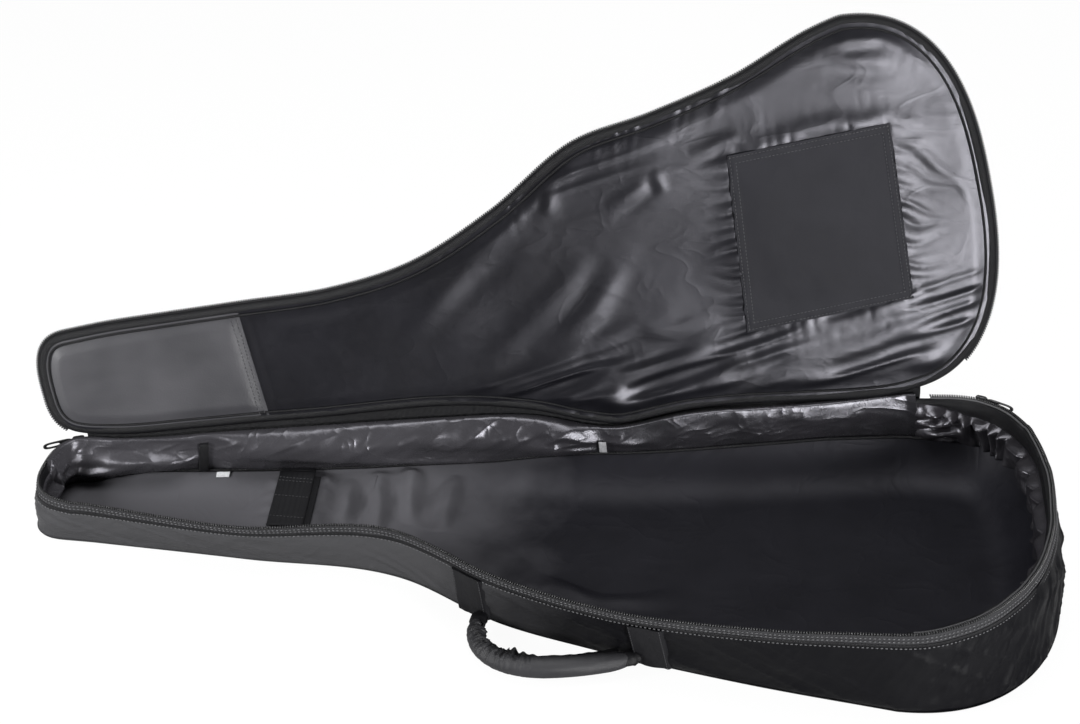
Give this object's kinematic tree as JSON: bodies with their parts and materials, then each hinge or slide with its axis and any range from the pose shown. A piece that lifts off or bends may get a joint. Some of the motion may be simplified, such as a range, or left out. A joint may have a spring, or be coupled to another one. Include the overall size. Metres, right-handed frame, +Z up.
{
  "type": "guitar gig bag",
  "caption": "Soft padded acoustic guitar gig bag, open on its back, with hinged lid, zipper, carry handle, neck strap, bridge patch and neck pocket",
  "frame": {"origin": "centre of the underside, on the floor", "axes": "X runs along the bag, head end at -X and tail end at +X; the lid is hinged on the +Y side and the handle is on the -Y side; Z is up"},
  "size_m": [1.0929, 0.5346, 0.4968],
  "materials": {
    "back_foam": "padding foam",
    "back_panel": "woven nylon, dark charcoal",
    "bare_label": "pale bare label",
    "base_zipper_tape": "zipper tape",
    "base_zipper_teeth": "nylon coil",
    "bridge_patch": "matte dark grey vinyl",
    "care_tab": "pale bare label",
    "far_lining": "satin nylon lining",
    "far_lining_strip": "dark woven binding",
    "far_wall": "woven nylon, dark charcoal",
    "floor_lining": "satin nylon lining",
    "floor_piping": "dark woven binding",
    "front_foam": "padding foam",
    "front_panel": "woven nylon, dark charcoal",
    "handle_band_left": "dark webbing",
    "handle_band_right": "dark webbing",
    "handle_seam": "matte dark grey vinyl",
    "handle_sleeve": "matte dark grey vinyl",
    "handle_tab_left": "dark webbing",
    "handle_tab_right": "dark webbing",
    "head_pull": "dark painted zinc",
    "head_slider": "dark painted zinc",
    "headstock_pad": "matte dark grey vinyl",
    "hinge_band": "dark woven binding",
    "hinge_roll": "dark woven binding",
    "lid_binding": "dark woven binding",
    "lid_lining": "satin nylon lining",
    "lid_zipper_tape": "zipper tape",
    "lid_zipper_teeth": "nylon coil",
    "near_lining": "satin nylon lining",
    "near_wall": "woven nylon, dark charcoal",
    "neck_pocket": "woven nylon, dark charcoal",
    "neck_pocket_pull": "dark painted zinc",
    "neck_pocket_slider": "dark painted zinc",
    "neck_pocket_zipper_tape": "zipper tape",
    "neck_pocket_zipper_teeth": "nylon coil",
    "neck_rest_pad": "satin nylon lining",
    "neck_strap_over": "dark webbing",
    "neck_strap_root": "dark webbing",
    "neck_strap_under": "dark webbing",
    "tail_facing": "dark woven binding",
    "tail_lining": "satin nylon lining",
    "tail_pull": "dark painted zinc",
    "tail_slider": "dark painted zinc"
  },
  "bodies": {
    "base": {"back_foam": "back_foam", "back_panel": "back_panel", "bare_label": "bare_label", "base_zipper_tape": "base_zipper_tape", "base_zipper_teeth": "base_zipper_teeth", "care_tab": "care_tab", "far_lining": "far_lining", "far_lining_strip": "far_lining_strip", "far_wall": "far_wall", "floor_lining": "floor_lining", "floor_piping": "floor_piping", "handle_band_left": "handle_band_left", "handle_band_right": "handle_band_right", "head_slider": "head_slider", "hinge_band": "hinge_band", "hinge_roll": "hinge_roll", "near_lining": "near_lining", "near_wall": "near_wall", "neck_rest_pad": "neck_rest_pad", "neck_strap_root": "neck_strap_root", "neck_strap_under": "neck_strap_under", "tail_facing": "tail_facing", "tail_lining": "tail_lining", "tail_slider": "tail_slider"},
    "lid": {"front_foam": "front_foam", "front_panel": "front_panel", "lid_binding": "lid_binding", "lid_lining": "lid_lining", "lid_zipper_tape": "lid_zipper_tape", "lid_zipper_teeth": "lid_zipper_teeth", "headstock_pad": "headstock_pad", "bridge_patch": "bridge_patch", "neck_pocket": "neck_pocket", "neck_pocket_zipper_tape": "neck_pocket_zipper_tape", "neck_pocket_zipper_teeth": "neck_pocket_zipper_teeth"},
    "handle": {"handle_sleeve": "handle_sleeve", "handle_seam": "handle_seam", "handle_tab_left": "handle_tab_left", "handle_tab_right": "handle_tab_right"},
    "strap_flap": {"neck_strap_over": "neck_strap_over"},
    "pocket_slider": {"neck_pocket_slider": "neck_pocket_slider"},
    "pocket_pull": {"neck_pocket_pull": "neck_pocket_pull"},
    "head_zip_pull": {"head_pull": "head_pull"},
    "tail_zip_pull": {"tail_pull": "tail_pull"}
  },
  "joints": [
    {"name": "lid_hinge", "type": "hinge", "parent": "base", "child": "lid", "pos_m": [0, 0.1352, 0.0945], "axis": [-0.9844, -0.1701, -0.0453], "range_deg": [-105, 72]},
    {"name": "handle_swing", "type": "hinge", "parent": "base", "child": "handle", "pos_m": [0.04872, -0.1596, 0.0125], "axis": [-0.9591, 0.283, 0], "range_deg": [0, 28]},
    {"name": "strap_flap_hinge", "type": "hinge", "parent": "base", "child": "strap_flap", "pos_m": [-0.273, 0.06654, 0.0319], "axis": [-1, 0, 0], "range_deg": [0, 80]},
    {"name": "pocket_slider_slide", "type": "slide", "parent": "lid", "child": "pocket_slider", "axis": [0.9783, 0.184, 0.0951], "range_m": [0, 0.117]},
    {"name": "pocket_pull_hinge", "type": "hinge", "parent": "pocket_slider", "child": "pocket_pull", "pos_m": [-0.42943, 0.10098, 0.1294], "axis": [-0.1413, 0.2572, 0.956], "range_deg": [0, 125]},
    {"name": "head_pull_hinge", "type": "hinge", "parent": "base", "child": "head_zip_pull", "pos_m": [-0.51877, 0.04714, 0.06002], "axis": [0.036, 0.0206, -0.9991], "range_deg": [0, 125]},
    {"name": "tail_pull_hinge", "type": "hinge", "parent": "base", "child": "tail_zip_pull", "pos_m": [0.46422, 0.19409, 0.1051], "axis": [-0.0338, 0.0209, 0.9992], "range_deg": [0, 125]}
  ]
}
